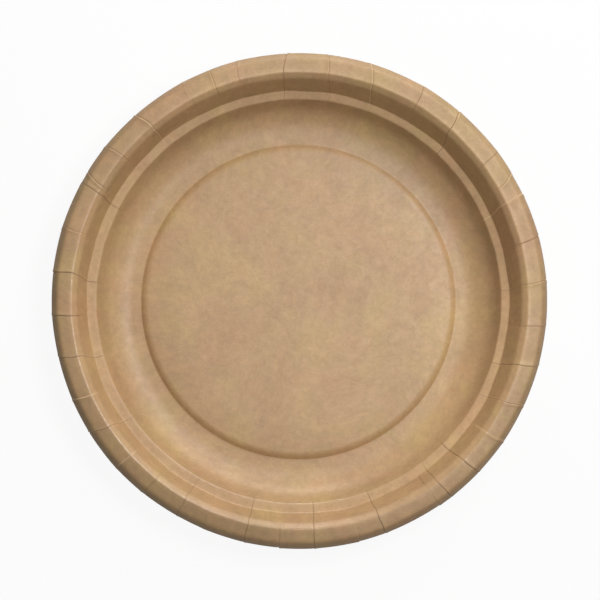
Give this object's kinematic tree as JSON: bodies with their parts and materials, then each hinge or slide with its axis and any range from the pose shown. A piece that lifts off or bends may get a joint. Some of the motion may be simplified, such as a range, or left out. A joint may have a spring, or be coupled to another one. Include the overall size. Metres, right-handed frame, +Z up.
{
  "type": "paper plate",
  "caption": "Round pressed paper plate with a raised centre panel, a stepped wall with a ledge and a turned-down pleated rim.",
  "frame": {"origin": "centre of the foot ring's underside, at the level of the table", "axes": "+Z up along the plate's axis; +X to the right and +Y away from someone looking down at it as the picture does"},
  "size_m": [0.23, 0.23, 0.024],
  "materials": {
    "kraft_board": "matte"
  },
  "bodies": {
    "root": {"plate": "kraft_board"}
  },
  "joints": []
}
